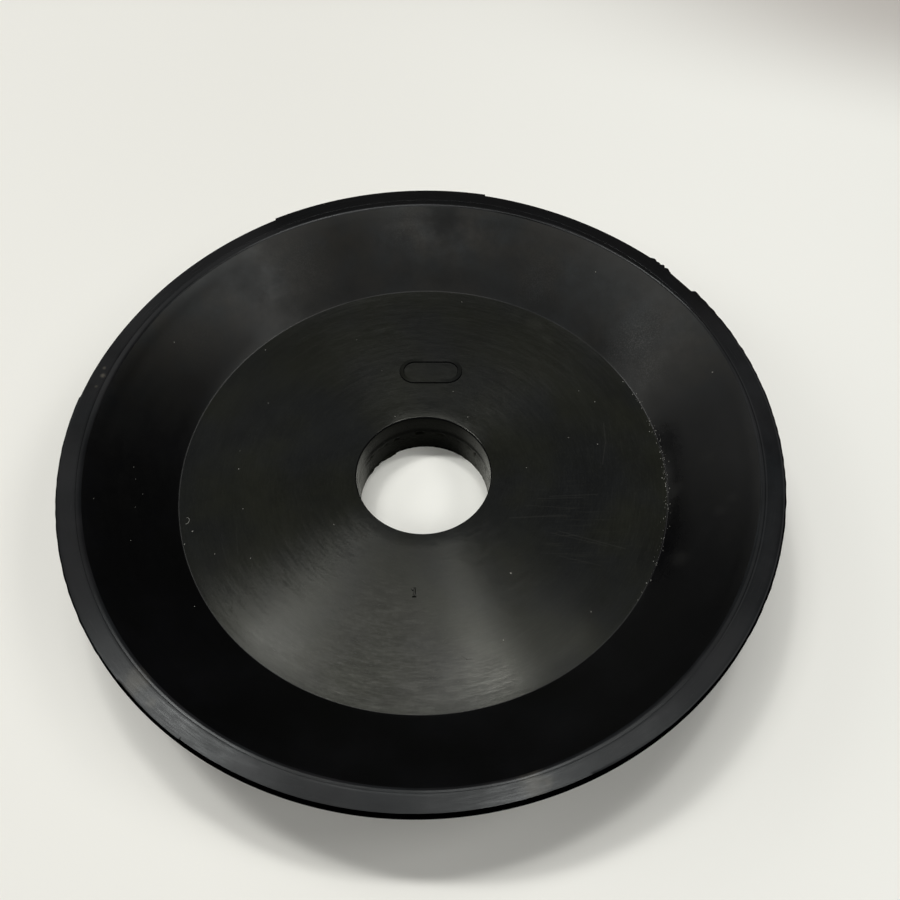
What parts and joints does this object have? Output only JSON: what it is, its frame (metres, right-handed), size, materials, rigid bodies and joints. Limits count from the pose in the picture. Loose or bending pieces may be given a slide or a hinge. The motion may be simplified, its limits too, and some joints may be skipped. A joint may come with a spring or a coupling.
{
  "type": "piston cup seal",
  "caption": "Round moulded rubber piston cup: a thick bored centre disc, a conical wall that flares up and out, and a flat-faced lip that seals on a cylinder wall.",
  "frame": {"origin": "on the bore's axis, at the underside that the cup rests on", "axes": "+Z along the bore's axis, from the underside towards the open lip; X and Y are free, and the torn tuft of flash lies about 40 degrees from +X towards +Y"},
  "size_m": [0.127, 0.127, 0.023],
  "materials": {
    "rubber": "black moulded rubber, satin, with faint turned rings on its flat faces"
  },
  "bodies": {
    "root": {"cup_seal": "rubber"}
  },
  "joints": []
}
